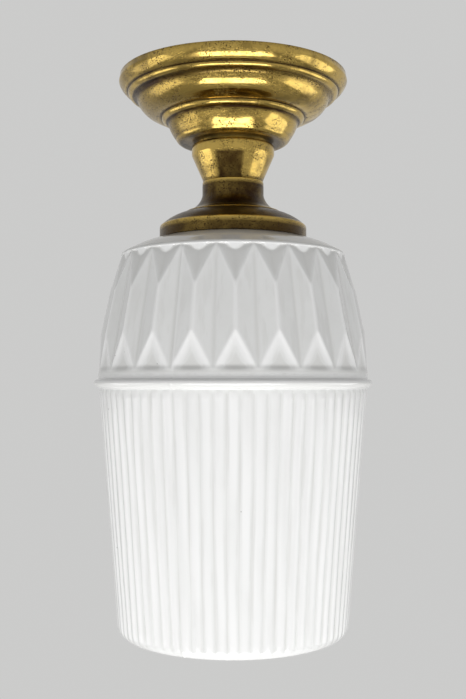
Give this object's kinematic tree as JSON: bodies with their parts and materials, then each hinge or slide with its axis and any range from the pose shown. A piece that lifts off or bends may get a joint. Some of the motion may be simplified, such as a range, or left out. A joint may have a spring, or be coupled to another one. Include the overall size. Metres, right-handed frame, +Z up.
{
  "type": "ceiling lamp",
  "caption": "Flush ceiling lamp with a stepped brass canopy, a brass neck and gallery, and a closed white opal glass shade with faceted and fluted bands.",
  "frame": {"origin": "centre of the canopy's face on the ceiling", "axes": "+Z up into the ceiling along the lamp's axis, so the lamp lies below the origin; the side that the picture shows looks along -Y; +X is to the right in it"},
  "size_m": [0.15, 0.15, 0.3],
  "materials": {
    "aged_brass": "spun brass, polished once and lightly tarnished",
    "plain_brass": "plain pressed and turned brass",
    "zinc_steel": "zinc-plated steel",
    "opal_glass": "glossy white opal glass, opaque to the eye",
    "porcelain": "white glazed porcelain",
    "black_rubber": "matt black rubber",
    "fibre": "red vulcanised fibre",
    "brown_wire": "brown wire insulation",
    "blue_wire": "blue wire insulation",
    "frosted_glass": "inside-frosted bulb glass",
    "clear_glass": "clear glass stem",
    "black_glass": "black glass insulator",
    "bulb_aluminium": "rolled aluminium screw cap",
    "tinned_contact": "soldered contact button",
    "filament_wire": "drawn wire"
  },
  "bodies": {
    "fixture": {"ceiling_strap": "zinc_steel", "strap_nuts": "zinc_steel", "earth_screw": "plain_brass", "earth_washer": "plain_brass", "threaded_tube": "zinc_steel", "tube_bushes": "fibre", "terminal_block": "porcelain", "terminal_tubes": "plain_brass", "terminal_block_screws": "plain_brass", "block_fixing_screw": "plain_brass", "canopy": "aged_brass", "canopy_washer": "aged_brass", "neck_cup": "aged_brass", "gallery": "aged_brass", "thread_ring": "plain_brass", "gallery_washer": "zinc_steel", "gallery_nut": "zinc_steel", "holder_cap": "plain_brass", "holder_lock_screw": "zinc_steel", "holder_skirt": "plain_brass", "holder_insert": "porcelain", "holder_terminals": "plain_brass", "holder_terminal_screws": "plain_brass", "screw_shell": "plain_brass", "centre_contact": "plain_brass", "contact_rivet": "plain_brass", "live_wire": "brown_wire", "neutral_wire": "blue_wire"},
    "glass_ring": {"glass_gasket": "black_rubber"},
    "shade": {"shade": "opal_glass"},
    "bulb_foot": {"bulb_contact": "tinned_contact", "bulb_insulator": "black_glass"},
    "bulb": {"bulb_cap": "bulb_aluminium", "bulb_glass": "frosted_glass", "bulb_stem": "clear_glass", "support_wires": "filament_wire", "filament": "filament_wire"}
  },
  "joints": [
    {"name": "shade_drop", "type": "slide", "parent": "fixture", "child": "glass_ring", "axis": [0, 0, -1], "range_m": [0, 0.006]},
    {"name": "shade_turn", "type": "hinge", "parent": "glass_ring", "child": "shade", "pos_m": [0, 0, -0.0886], "axis": [0, 0, -1], "range_deg": [0, 540]},
    {"name": "bulb_drop", "type": "slide", "parent": "fixture", "child": "bulb_foot", "axis": [0, 0, -1], "range_m": [0, 0.01452]},
    {"name": "bulb_turn", "type": "hinge", "parent": "bulb_foot", "child": "bulb", "pos_m": [0, 0, -0.115], "axis": [0, 0, -1], "range_deg": [0, 1440]}
  ],
  "couplings": [
    {"joint": "shade_drop", "follows": "shade_turn", "m_per_rad": 0.00063662},
    {"joint": "bulb_drop", "follows": "bulb_turn", "m_per_rad": 0.00057757}
  ]
}
